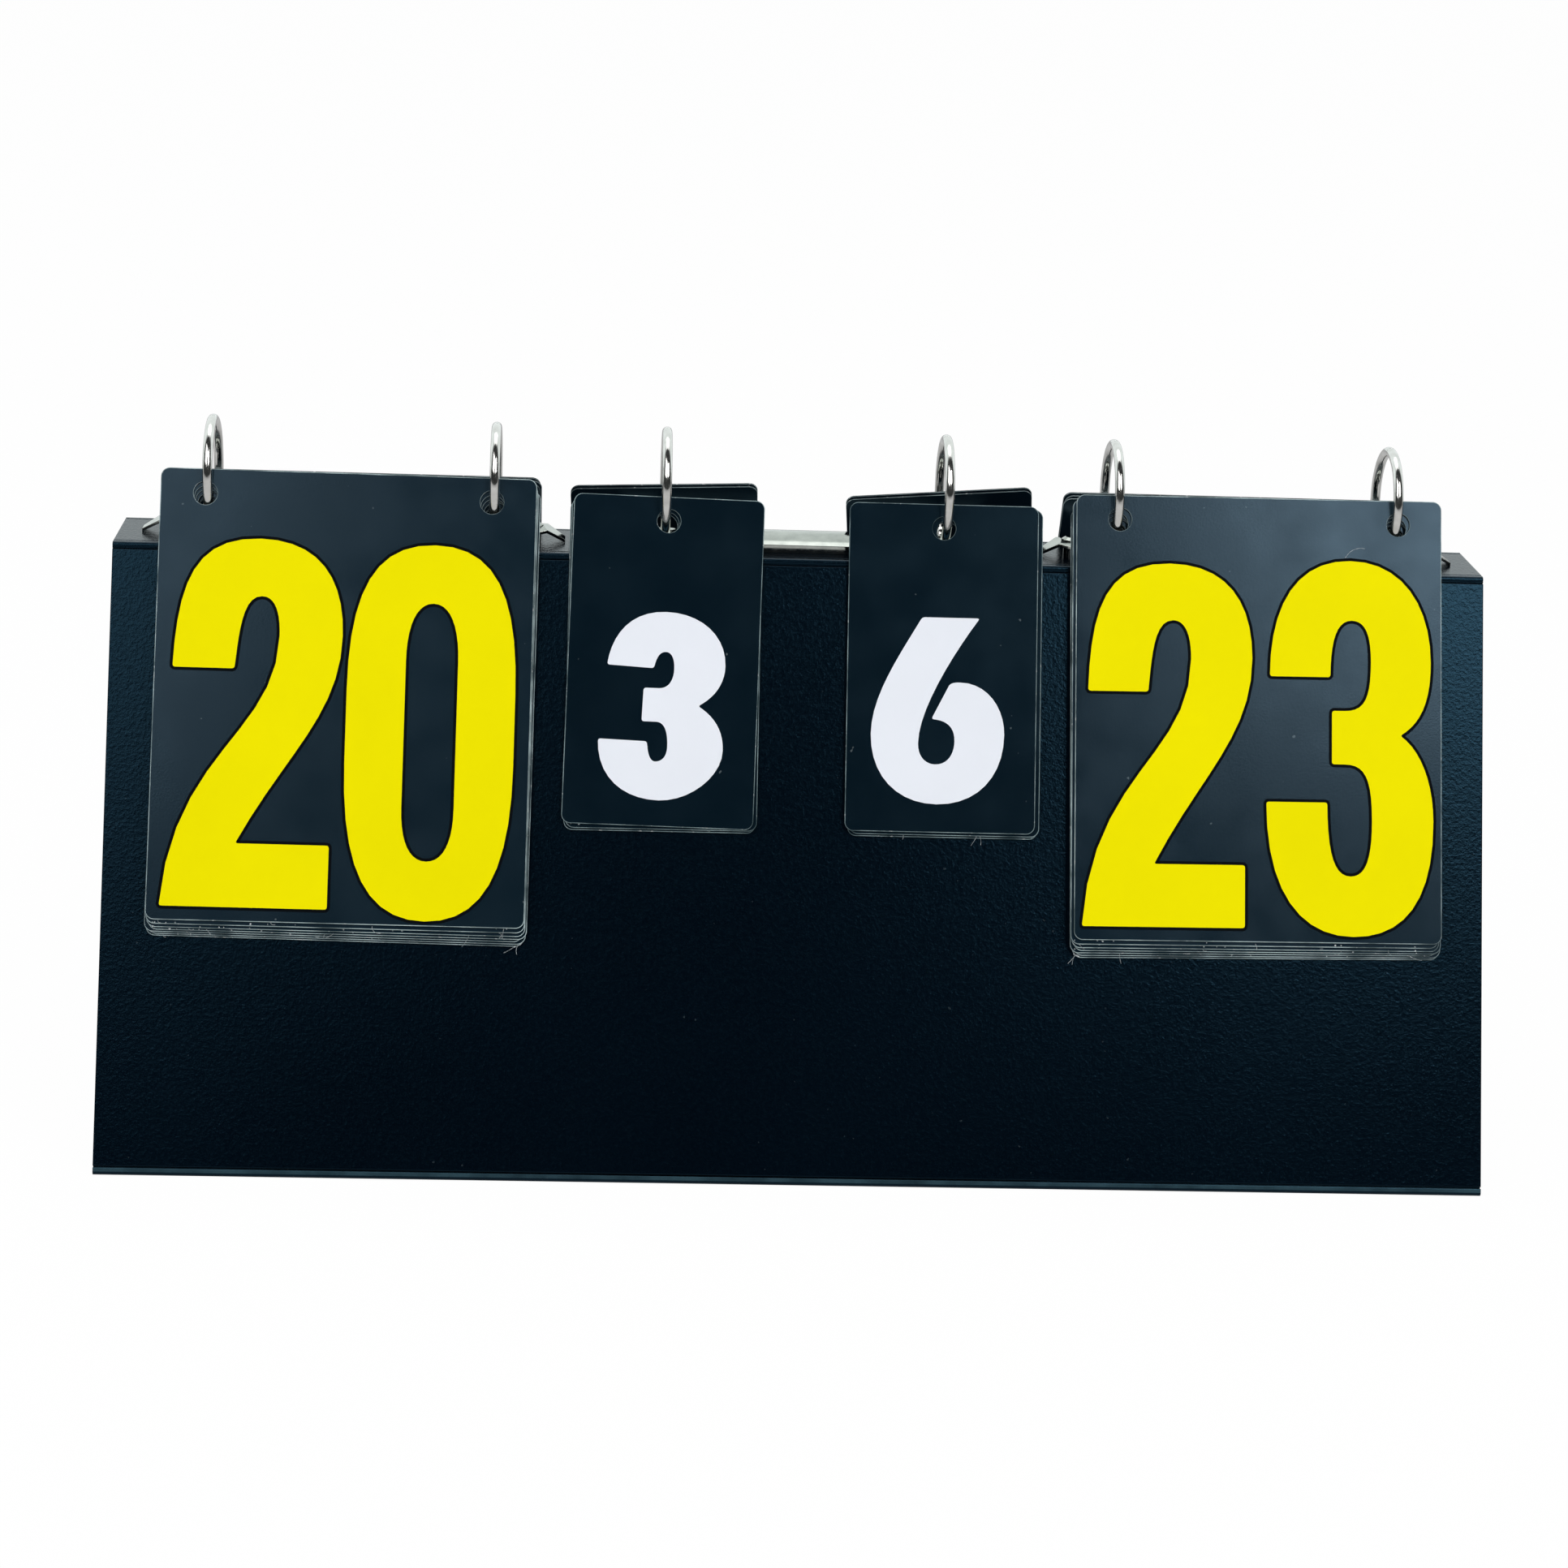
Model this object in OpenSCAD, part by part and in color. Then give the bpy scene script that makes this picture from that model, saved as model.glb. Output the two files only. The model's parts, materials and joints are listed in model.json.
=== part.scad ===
// Tabletop flip scoreboard: a folding sheet case that stands as an A-frame,
// three two-ring binder mechanisms on its spine and four stacks of number cards.
// The origin is the middle of the footprint on the table. X runs along the
// spine, the cards that are read face -Y, and Z is up. Lengths are millimetres.

/* [Case] */
// Length of the case along its spine
case_w = 390; // [380:1:460]
// Height of a panel along its slope, from hinge to hinge
panel_h = 175; // [160:1:220]
// Depth of the spine between its two hinge lines
spine_d = 28; // [27:0.5:36]
// Thickness of the plastic sheet
sheet_t = 2; // [1.6:0.1:3]
// Lean of each panel from upright, in degrees
lean = 22; // [18:0.5:26]
// Gap between a hinge bead and the sheet that turns about it
hinge_gap = 0.3; // [0.2:0.05:0.5]
// Width of the moulded groove beside a hinge bead
groove_w = 0.5; // [0.3:0.1:0.8]
// Depth of that groove
groove_depth = 0.9; // [0.4:0.1:1.2]

/* [Base flap] */
// How far the base flap stands in from each end of the case
flap_inset = 8; // [4:1:20]
// How far the closing tab stands in from each end of the base flap
tab_inset = 10; // [4:1:30]
// Height of the closing tab along its slope
tab_h = 26; // [22:1:40]
// Length of a hook or loop pad
pad_w = 40; // [20:1:60]
// Height of a pad
pad_h = 16; // [10:1:18]
// Thickness of a pad
pad_t = 1.2; // [0.8:0.1:2]
// Gap between the faces of a hook pad and its loop pad
pad_gap = 0.1; // [0.05:0.05:0.3]
// Distance of each pad's middle from the middle of the case
pad_x = 100; // [60:1:140]

/* [Ring mechanisms] */
// Distance between the two rings of a mechanism
ring_pitch = 80; // [76:0.5:84]
// Diameter of the ring wire
wire_d = 2.8; // [2.4:0.1:3.2]
// Inside diameter of a closed ring
ring_bore = 26.2; // [24:0.1:29]
// Height of a ring's lowest point, at the middle of its wire, over the spine
ring_floor = 3.4; // [3.3:0.1:4.4]
// Gap between the tips of the closed half rings
tip_gap = 0.15; // [0.1:0.05:0.3]
// Length of a cover plate
cover_l = 120; // [114:1:126]
// Width of a cover plate
cover_w = 16; // [15:0.5:18]
// Height of the cover's crown over the spine
cover_h = 4.5; // [4.4:0.1:5.2]
// Height of the rolled edges of the cover
cover_edge_h = 2.4; // [2.3:0.1:2.8]
// Thickness of the cover's steel
cover_t = 0.8; // [0.6:0.1:1]
// Length of the taper at each end of the cover
taper_l = 14; // [8:1:16]
// Width of the cover's tips
tip_w = 4; // [3:0.5:6]
// Length over which each end of the cover slopes down to the spine
nose_l = 6; // [4:0.5:7]
// Height of the cover's tips over the spine
nose_h = 0.9; // [0.7:0.1:1.2]
// Thickness of a blade
blade_t = 0.8; // [0.6:0.1:0.9]
// Tilt of a blade while the rings are closed, in degrees
blade_tilt = 5; // [3:0.5:6]
// Gap between a blade's outer edge and the cover, to its side and above it
blade_gap = 0.25; // [0.2:0.05:0.3]
// Gap between the inner edges of the two blades
blade_split = 0.5; // [0.3:0.1:0.8]
// Gap between each end of a blade and the rivet beyond it
blade_end_gap = 2.2; // [1:0.1:4]
// Distance of a half ring's leg from the middle of the mechanism
leg_y = 4.4; // [4.2:0.1:4.8]
// Radius of the bend between a half ring and its leg
bend_r = 2.2; // [1.8:0.1:2.6]
// Clearance of a half ring in its slot in the cover
slot_gap = 0.4; // [0.3:0.05:0.6]
// Room in the slot for a half ring to lean outwards as it opens
slot_reach = 1; // [0.8:0.1:1.3]
// Distance of each rivet from where the cover starts to slope down
rivet_inset = 3.2; // [3:0.1:5]
// Diameter of a rivet's shank
rivet_d = 3.2; // [2.6:0.1:3.6]
// Diameter of a rivet's shoulder under the cover
rivet_shoulder_d = 4.6; // [4:0.1:5]
// Diameter of a rivet's heads
rivet_head_d = 6; // [5.6:0.1:7]
// Diameter of the flat on top of a rivet's upper head
rivet_top_d = 3.6; // [3:0.1:4.4]
// Thickness of a rivet's heads
rivet_head_t = 0.8; // [0.6:0.1:1.2]
// Clearance of a rivet in the holes that it passes through
rivet_gap = 0.2; // [0.1:0.05:0.3]

/* [Large cards] */
// Width of a large card
large_w = 105; // [100:0.5:112]
// Height of a large card
large_h = 126.5; // [110:0.5:150]
// Cards that wait behind the large card in front
large_waiting = 6; // [2:1:6]
// Cards behind the large card that has been turned to the rear
large_turned = 2; // [1:1:5]
// Height of a large numeral
large_digit_h = 103; // [80:1:104]
// Width of a large numeral
large_digit_w = 47; // [36:0.5:48]
// Distance between the middles of the two numerals of the large card on the left
left_digit_pitch = 49.2; // [48:0.1:52]
// Distance between the middles of the two numerals of the large card on the right
right_digit_pitch = 52.2; // [49:0.1:54]
// Height of the numerals' foot above a large card's lower edge
large_digit_foot = 3.9; // [3:0.1:8]
// Sideways shift of the large cards in front, away from the middle of the case
large_shift = 0.6; // [0:0.1:1]
// Turn of the rearmost waiting card of a large pack, in degrees, lower edge outwards
large_fan = 0.7; // [0:0.1:1]

/* [Small cards] */
// Width of a small card
small_w = 54; // [46:0.5:58]
// Height of a small card
small_h = 93.5; // [80:0.5:120]
// Cards that wait behind the small card in front
small_waiting = 2; // [1:1:5]
// Cards behind the small card that has been turned to the rear
small_turned = 1; // [1:1:4]
// Height of a small numeral
small_digit_h = 52.5; // [40:0.5:60]
// Width of a small numeral
small_digit_w = 35.2; // [28:0.1:40]
// Height of the numeral's foot above a small card's lower edge
small_digit_foot = 7.9; // [4:0.1:14]
// Distance of the right small card's numeral to the left of the card's middle
six_shift = 1.1; // [0:0.1:3]
// Sideways shift of the small cards in front, towards the middle of the case
small_shift = 0.9; // [0:0.1:1]
// Gap between a small card and the large card beside it
card_space = 8.9; // [7:0.1:11]
// Sideways sway of the lower edge of the left small card in front
front_sway = -1.6; // [-3:0.1:3]
// Sideways sway of the lower edge of the left small cards turned to the rear
turned_sway = 4; // [-5:0.5:6]
// Gap left by the right small cards turned to the rear, which sway towards the
// large cards beside them
sway_gap = 0.2; // [0.2:0.1:3]

/* [All cards] */
// Thickness of a card
card_t = 0.5; // [0.3:0.05:0.5]
// Gap between two cards of a pack
card_gap = 0.18; // [0.12:0.02:0.24]
// Gap between a pack's last card and the panel that it lies on
rest_gap = 0.25; // [0.2:0.05:0.4]
// Corner radius of a card
card_r = 2.5; // [2:0.5:6]
// Diameter of the punched holes
hole_d = 6.7; // [6.6:0.1:7.6]
// Distance of a hole's middle from a card's upper edge
hole_edge = 6.9; // [6.5:0.1:9]
// Clearance kept between a hanging card's hole and the wire
hang_gap = 0.25; // [0.2:0.05:0.4]
// Largest sideways shift of a card within its pack
pack_shift = 0.6; // [0:0.1:0.8]
// Thickness of the printed layer
print_t = 0.1; // [0.05:0.05:0.2]
// Reach of the rounding along each side of a numeral's corner
print_corner = 0.9; // [0.4:0.1:1.2]

/* [Hidden] */
$fn = 48;

// Colours of the sheet, the cards, the print and the metal
sheet_colour = [0.06, 0.10, 0.13];
card_colour = [0.17, 0.23, 0.28];
small_card_colour = [0.03, 0.10, 0.14];
yellow = [0.95, 0.90, 0.00];
white = [0.92, 0.93, 0.95];
nickel = [0.78, 0.78, 0.76];
pad_colour = [0.05, 0.05, 0.06];

// Overlap that lets a cut pass cleanly through a face
cut = 1;
// Turn between the shifts of one card and the next, which rarely repeats
shift_turn = 137;
// Cosine of the smallest turn that counts as a corner of a numeral
corner_cos = cos(25);

// Case: the hinge beads are as thick as the sheet and lie at its middle
bead_r = sheet_t / 2;
hinge_y = spine_d / 2;
hinge_z = bead_r + panel_h * cos(lean);
spine_top = hinge_z + bead_r;
foot_y = hinge_y + panel_h * sin(lean);
sheet_start = bead_r + hinge_gap;
rear_panel_h = (hinge_z - bead_r * sin(lean)) / cos(lean);
flap_w = case_w - 2 * flap_inset;
tab_w = flap_w - 2 * tab_inset;
tab_offset = sheet_t + 2 * pad_t + pad_gap;
tab_hinge_y = foot_y - tab_offset / cos(lean);
pad_middle = (sheet_start + sheet_t + tab_h) / 2;

// Ring mechanisms: heights here are above the top of the spine
mechanism_pitch = ring_pitch / 2 + small_w / 2 + card_space + large_w / 2;
left_x = -mechanism_pitch;
middle_x = 0;
right_x = mechanism_pitch;
ring_xs = [-ring_pitch / 2, ring_pitch / 2];
wire_r = wire_d / 2;
ring_r = ring_bore / 2 + wire_r;
ring_z = ring_r + ring_floor;
join_angle = acos((leg_y + bend_r) / (ring_r + bend_r));
leg_top = ring_z - (ring_r + bend_r) * sin(join_angle);
arch_rise = cover_h - cover_edge_h;
arch_r = (pow(cover_w / 2, 2) + pow(arch_rise, 2)) / (2 * arch_rise);
nose_slope = (cover_h - nose_h) / nose_l;
blade_pivot_y = cover_w / 2 - cover_t - blade_gap;
blade_pivot_z = arch_inside(blade_pivot_y) - blade_gap - blade_t / 2;
blade_w = blade_pivot_y / cos(blade_tilt) - blade_split / 2;
rivet_x = cover_l / 2 - nose_l - rivet_inset;
blade_l = 2 * (rivet_x - rivet_shoulder_d / 2 - blade_end_gap);
shoulder_h = arch_inside(rivet_shoulder_d / 2) - rivet_gap;
slot_outer_y = leg_y + wire_r + slot_reach;
slot_inner_y = leg_y - wire_r - slot_gap;

// Height of the arch's underside at this distance from its middle
function arch_inside(y) = cover_h - arch_r + sqrt(pow(arch_r - cover_t, 2) - pow(y, 2));

// Cards: a card lies parallel to its panel and hangs with the top of its hole
// over the wire. Its depth is the distance from the panel to its middle.
card_pitch = card_t + card_gap;
panel_reach = hinge_y * cos(lean) - (ring_z + bead_r) * sin(lean) + bead_r;
small_ring_x = ring_pitch / 2;
large_waiting_depth = pack_depth(large_waiting);
small_waiting_depth = pack_depth(small_waiting);
large_turned_depth = pack_depth(large_turned);
small_turned_depth = pack_depth(small_turned);
front_swing = swing_angle(front_sway);
left_swing = swing_angle(turned_sway);
right_swing = swing_angle(card_space - pack_shift - sway_gap);

// Depth of the card that has this many behind it
function pack_depth(behind) = rest_gap + card_t / 2 + behind * card_pitch;
// Distance down the slope from the ring's middle to the hole of a card whose
// middle passes the ring's middle at this distance. A hole shifted aside on the
// wire hangs a little higher.
function hole_drop(reach, aside) =
    sqrt(pow(ring_bore / 2, 2) - pow(reach + card_t / 2, 2)) + wire_r
    + sqrt(pow((hole_d - wire_d) / 2, 2) - pow(aside, 2)) - hang_gap;
// Angle at which a small card's lower edge sways this far
function swing_angle(sway) = asin(sway / (small_h - hole_edge));

// A box centred on x = 0 in a frame whose z runs along the sheet
module sheet(width, from_z, to_z) {
    translate([-width / 2, -sheet_t / 2, from_z])
        cube([width, sheet_t, to_z - from_z]);
}

// A sheet whose hinged end is mitred so that it can fold towards +Y
module mitred_sheet(width, to_z) {
    profile = [
        [-sheet_t / 2, sheet_start],
        [sheet_t / 2, sheet_start + sheet_t],
        [sheet_t / 2, to_z],
        [-sheet_t / 2, to_z]
    ];
    translate([-width / 2, 0, 0])
        rotate([90, 0, 90])
            linear_extrude(width)
                polygon(profile);
}

module bead(width) {
    translate([-width / 2, 0, 0])
        rotate([0, 90, 0])
            cylinder(r = bead_r, h = width);
}

// A groove across a sheet's face at +Y, beside a bead at z = 0 below it
module bead_groove() {
    translate([-case_w / 2 - cut, sheet_t / 2 - groove_depth, bead_r])
        cube([case_w + 2 * cut, groove_depth + cut, groove_w]);
}

module spine() {
    color(sheet_colour)
        difference() {
            union() {
                translate([0, 0, hinge_z])
                    rotate([90, 0, 0])
                        sheet(case_w, -hinge_y, hinge_y);
                for (side = [-1, 1])
                    translate([0, side * hinge_y, hinge_z])
                        bead(case_w);
            }
            for (turn = [0, 180])
                rotate([0, 0, turn])
                    translate([0, -hinge_y, hinge_z])
                        rotate([-90, 0, 0])
                            mirror([0, 1, 0])
                                bead_groove();
            for (mechanism = [left_x, middle_x, right_x], side = [-1, 1])
                translate([mechanism + side * rivet_x, 0, hinge_z - sheet_t])
                    cylinder(d = rivet_d + 2 * rivet_gap, h = 2 * sheet_t);
        }
}

module on_front_slope() {
    translate([0, -hinge_y, hinge_z])
        rotate([-lean, 0, 0])
            children();
}

module on_rear_slope() {
    translate([0, hinge_y, hinge_z])
        rotate([lean, 0, 0])
            children();
}

module front_panel() {
    color(sheet_colour)
        on_front_slope()
            difference() {
                union() {
                    sheet(case_w, -panel_h, -sheet_start);
                    translate([0, 0, -panel_h])
                        bead(case_w);
                }
                translate([0, 0, -panel_h])
                    mirror([0, 1, 0])
                        bead_groove();
            }
}

module rear_panel() {
    color(sheet_colour)
        on_rear_slope()
            sheet(case_w, -rear_panel_h, -sheet_start);
}

module base_flap() {
    color(sheet_colour) {
        translate([0, -foot_y, bead_r])
            rotate([-90, 0, 0])
                mirror([0, 1, 0])
                    mitred_sheet(flap_w, foot_y + tab_hinge_y);
        translate([0, tab_hinge_y, bead_r])
            bead(flap_w);
    }
}

module on_tab_slope() {
    translate([0, tab_hinge_y, bead_r])
        rotate([lean, 0, 0])
            children();
}

module closing_tab() {
    color(sheet_colour)
        on_tab_slope()
            mirror([0, 1, 0])
                mitred_sheet(tab_w, tab_h);
}

module pad_pair(from_y) {
    for (side = [-1, 1])
        translate([side * pad_x - pad_w / 2, from_y, pad_middle - pad_h / 2])
            cube([pad_w, pad_t, pad_h]);
}

module hook_pads() {
    color(pad_colour)
        on_tab_slope()
            pad_pair(sheet_t / 2);
}

module loop_pads() {
    color(pad_colour)
        on_tab_slope()
            pad_pair(sheet_t / 2 + pad_t + pad_gap);
}

// The cover's outer profile, or with an inset its inner one, looking along X
module cover_profile(inset) {
    intersection() {
        translate([0, cover_h - arch_r])
            circle(r = arch_r - inset, $fn = 128);
        translate([-cover_w / 2 + inset, inset == 0 ? 0 : -cut])
            square([cover_w - 2 * inset, cover_h + cut]);
    }
}

module cover_taper() {
    polygon([
        [cover_l / 2 - taper_l, cover_w / 2],
        [cover_l / 2 - taper_l, cover_w / 2 + cut],
        [cover_l / 2 + cut, cover_w / 2 + cut],
        [cover_l / 2 + cut, tip_w / 2],
        [cover_l / 2, tip_w / 2]
    ]);
}

// The space over the cover's ends, lowered so that it leaves a wall this thick
module over_noses(wall = 0) {
    reach = nose_l + cut;
    above = [[-cover_h / nose_slope, cover_h], [reach, -reach * nose_slope], [reach, cover_h]];
    for (flip_x = [0, 1])
        mirror([flip_x, 0, 0])
            translate([cover_l / 2 - nose_l, cover_w / 2 + cut, cover_h - wall * norm([1, nose_slope])])
                rotate([90, 0, 0])
                    linear_extrude(cover_w + 2 * cut)
                        polygon(above);
}

// The slot that lets one half ring turn with its blade
module ring_slot() {
    translate([-wire_r - slot_gap, slot_inner_y, cover_edge_h / 2])
        cube([wire_d + 2 * slot_gap, slot_outer_y - slot_inner_y, cover_h]);
}

module ring_cover(mechanism) {
    color(nickel)
        translate([mechanism, 0, spine_top])
            difference() {
                translate([-cover_l / 2, 0, 0])
                    rotate([90, 0, 90])
                        linear_extrude(cover_l)
                            cover_profile(0);
                over_noses();
                difference() {
                    translate([-cover_l / 2 - cut, 0, 0])
                        rotate([90, 0, 90])
                            linear_extrude(cover_l + 2 * cut)
                                cover_profile(cover_t);
                    over_noses(cover_t);
                }
                for (flip_x = [0, 1], flip_y = [0, 1])
                    mirror([flip_x, 0, 0])
                        mirror([0, flip_y, 0])
                            translate([0, 0, -cut])
                                linear_extrude(cover_h + 2 * cut)
                                    cover_taper();
                for (x = ring_xs, flip_y = [0, 1])
                    mirror([0, flip_y, 0])
                        translate([x, 0, 0])
                            ring_slot();
                for (side = [-1, 1])
                    translate([side * rivet_x, 0, 0])
                        cylinder(d = rivet_d + 2 * rivet_gap, h = cover_h + cut);
            }
}

module rivet() {
    translate([0, 0, -sheet_t])
        cylinder(d = rivet_d, h = sheet_t + cover_h);
    cylinder(d = rivet_shoulder_d, h = shoulder_h);
    translate([0, 0, cover_h])
        cylinder(d1 = rivet_head_d, d2 = rivet_top_d, h = rivet_head_t);
    translate([0, 0, -sheet_t - rivet_head_t])
        cylinder(d = rivet_head_d, h = rivet_head_t);
}

module rivets(mechanism) {
    color(nickel)
        for (side = [-1, 1])
            translate([mechanism + side * rivet_x, 0, spine_top])
                rivet();
}

// The frame of the rear blade, with its outer edge at the origin
module on_blade() {
    translate([0, blade_pivot_y, blade_pivot_z])
        rotate([blade_tilt, 0, 0])
            children();
}

// The rear blade; the front one is its mirror image
module blade() {
    on_blade()
        translate([-blade_l / 2, -blade_w, -blade_t / 2])
            cube([blade_l, blade_w, blade_t]);
}

// A stretch of wire bent about an axis along X
module wire_arc(r, from, to) {
    rotate([90, 0, 90])
        rotate([0, 0, from])
            rotate_extrude(angle = to - from, $fn = 64)
                translate([r, 0])
                    circle(r = wire_r, $fn = 32);
}

// The rear half of one ring; the front one is its mirror image
module half_ring() {
    tip_angle = tip_gap / 2 / ring_r * 180 / PI;
    translate([0, 0, ring_z])
        wire_arc(ring_r, -join_angle, 90 - tip_angle);
    translate([0, leg_y + bend_r, leg_top])
        wire_arc(bend_r, 180 - join_angle, 180);
    difference() {
        translate([0, leg_y, 0])
            cylinder(r = wire_r, h = leg_top, $fn = 32);
        on_blade()
            translate([-wire_d, -cover_w / 2, -cover_h])
                cube([2 * wire_d, cover_w / 2, cover_h + blade_t / 2]);
    }
}

module front_blade(mechanism) {
    color(nickel)
        translate([mechanism, 0, spine_top])
            mirror([0, 1, 0])
                blade();
}

module rear_blade(mechanism) {
    color(nickel)
        translate([mechanism, 0, spine_top])
            blade();
}

module front_half_rings(mechanism) {
    color(nickel)
        for (x = ring_xs)
            translate([mechanism + x, 0, spine_top])
                mirror([0, 1, 0])
                    half_ring();
}

module rear_half_rings(mechanism) {
    color(nickel)
        for (x = ring_xs)
            translate([mechanism + x, 0, spine_top])
                half_ring();
}

// The frame of a card at this depth in front of the front panel: x along the
// spine, y up the card, z out of its face, with the holes' line at the origin.
// The card is shifted aside from x, and turned in its own plane as it hangs on
// the higher of two rings that stand this far either side of its middle.
module hang_front(x, depth, aside = 0, turn = 0, ring_reach = 0) {
    reach = depth + panel_reach;
    lift = ring_reach * abs(sin(turn));
    translate([x + aside, 0, spine_top + ring_z])
        rotate([90 - lean, 0, 0])
            translate([0, lift - hole_drop(reach, aside), reach])
                rotate([0, 0, turn])
                    children();
}

module rounded_sheet(w, h) {
    translate([card_r, 0])
        square([w - 2 * card_r, h]);
    translate([0, card_r])
        square([w, h - 2 * card_r]);
    for (x = [card_r, w - card_r], y = [card_r, h - card_r])
        translate([x, y])
            circle(r = card_r);
}

module card(w, h, holes) {
    translate([0, 0, -card_t / 2])
        linear_extrude(card_t)
            difference() {
                translate([-w / 2, hole_edge - h])
                    rounded_sheet(w, h);
                for (x = holes)
                    translate([x, 0])
                        circle(d = hole_d);
            }
}

// Sideways shift of the card that has this many behind it, uneven as by hand
function shift(behind) = pack_shift * sin(behind * shift_turn);
// Turn of a waiting large card that has this many behind it
function fan_turn(fan, behind) = fan * (1 - behind / large_waiting / 2);

module small_cards(x, behind_top, swing = 0) {
    for (behind = [0 : behind_top - 1])
        hang_front(x, pack_depth(behind), shift(behind), swing)
            card(small_w, small_h, [0]);
}

module large_cards(x, behind_top, fan = 0) {
    for (behind = [0 : behind_top - 1])
        hang_front(x, pack_depth(behind), shift(behind), fan_turn(fan, behind), ring_pitch / 2)
            card(large_w, large_h, ring_xs);
}

// Points along a chain of cubic curves. The list holds a point, two handles, the
// next point and so on.
function chain(points, steps = 10) = [
    points[0],
    for (k = [0 : 3 : len(points) - 4], i = [1 : steps])
        let (t = i / steps, s = 1 - t)
            s * s * s * points[k] + 3 * s * s * t * points[k + 1]
            + 3 * s * t * t * points[k + 2] + t * t * t * points[k + 3]
];

function unit(v) = v / norm(v);

// The corner at a point, rounded over this reach along the sides that meet there
function corner(before, here, after, reach) =
    let (
        from = here - min(reach, norm(here - before)) * 0.9 * unit(here - before),
        to = here + min(reach, norm(after - here)) * 0.9 * unit(after - here)
    )
        [for (t = [0 : 0.25 : 1]) pow(1 - t, 2) * from + 2 * t * (1 - t) * here + t * t * to];

// An outline with its corners rounded and its smooth stretches left as they are
function round_corners(points, reach) = [
    for (i = [0 : len(points) - 1])
        let (
            before = points[(i + len(points) - 1) % len(points)],
            here = points[i],
            after = points[(i + 1) % len(points)]
        )
            each unit(here - before) * unit(after - here) > corner_cos
                ? [here]
                : corner(before, here, after, reach)
];

// A numeral is drawn in a box one unit wide and one high, with its foot at 0
module numeral(w, h, outline) {
    linear_extrude(print_t)
        polygon(round_corners([for (p = outline) [p[0] * w, p[1] * h]], print_corner));
}

zero_outline = chain([
    [0.5, 0.6], [0.5, 0.87], [0.36, 1], [0, 1],
    [-0.36, 1], [-0.5, 0.87], [-0.5, 0.6],
    [-0.5, 0.55], [-0.5, 0.45], [-0.5, 0.4],
    [-0.5, 0.11], [-0.34, -0.025], [0, -0.025],
    [0.34, -0.025], [0.5, 0.11], [0.5, 0.4]
]);
zero_slot = chain([
    [0.155, 0.68], [0.155, 0.78], [0.1, 0.84], [0, 0.84],
    [-0.1, 0.84], [-0.155, 0.78], [-0.155, 0.68],
    [-0.155, 0.6], [-0.155, 0.4], [-0.155, 0.28],
    [-0.155, 0.19], [-0.1, 0.137], [0, 0.137],
    [0.1, 0.137], [0.155, 0.19], [0.155, 0.28]
]);

module zero(w, h) {
    linear_extrude(print_t)
        scale([w, h])
            difference() {
                polygon(zero_outline);
                polygon(zero_slot);
            }
}

two_outline = concat(
    chain([
        [-0.485, 0.647], [-0.47, 0.88], [-0.38, 1.003], [0.01, 1.003],
        [0.36, 1.003], [0.513, 0.9], [0.513, 0.745],
        [0.513, 0.53], [0.2, 0.42], [-0.08, 0.173]
    ]),
    [[0.472, 0.173], [0.472, 0]],
    chain([
        [-0.515, 0], [-0.46, 0.42], [0.14, 0.47], [0.14, 0.74],
        [0.14, 0.8], [0.11, 0.846], [0.03, 0.846],
        [-0.09, 0.846], [-0.1, 0.74], [-0.12, 0.647]
    ])
);

large_three = concat(
    chain([
        [-0.49, 0.696], [-0.49, 0.9], [-0.32, 1.02], [0, 1.02],
        [0.32, 1.02], [0.495, 0.9], [0.495, 0.74],
        [0.495, 0.63], [0.43, 0.57], [0.308, 0.537],
        [0.43, 0.5], [0.51, 0.41], [0.51, 0.3],
        [0.51, 0.08], [0.33, -0.02], [0.02, -0.02],
        [-0.3, -0.02], [-0.51, 0.1], [-0.51, 0.349]
    ]),
    chain([
        [-0.138, 0.349], [-0.138, 0.2], [-0.09, 0.146], [0.005, 0.146],
        [0.1, 0.146], [0.135, 0.2], [0.135, 0.3],
        [0.135, 0.42], [0.09, 0.455], [-0.03, 0.455]
    ]),
    [[-0.11, 0.455], [-0.11, 0.603]],
    chain([
        [-0.03, 0.603], [0.09, 0.603], [0.128, 0.64], [0.128, 0.74],
        [0.128, 0.82], [0.09, 0.854], [0.01, 0.854],
        [-0.08, 0.854], [-0.12, 0.8], [-0.12, 0.696]
    ])
);

small_three = concat(
    chain([
        [-0.45, 0.71], [-0.42, 0.88], [-0.27, 1.006], [0.01, 1.006],
        [0.29, 1.006], [0.497, 0.89], [0.497, 0.725],
        [0.497, 0.63], [0.42, 0.555], [0.29, 0.505],
        [0.42, 0.455], [0.501, 0.38], [0.501, 0.27],
        [0.501, 0.13], [0.25, -0.01], [0, -0.01],
        [-0.28, -0.01], [-0.5, 0.1], [-0.5, 0.31]
    ]),
    chain([
        [-0.108, 0.305], [-0.1, 0.24], [-0.08, 0.198], [-0.037, 0.198],
        [0.02, 0.198], [0.056, 0.23], [0.056, 0.28],
        [0.056, 0.37], [0.02, 0.412], [-0.04, 0.412]
    ]),
    [[-0.158, 0.412], [-0.151, 0.593]],
    chain([
        [-0.03, 0.593], [0.05, 0.593], [0.088, 0.64], [0.088, 0.7],
        [0.088, 0.76], [0.06, 0.79], [0.017, 0.79],
        [-0.04, 0.79], [-0.06, 0.75], [-0.075, 0.7]
    ])
);

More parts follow.
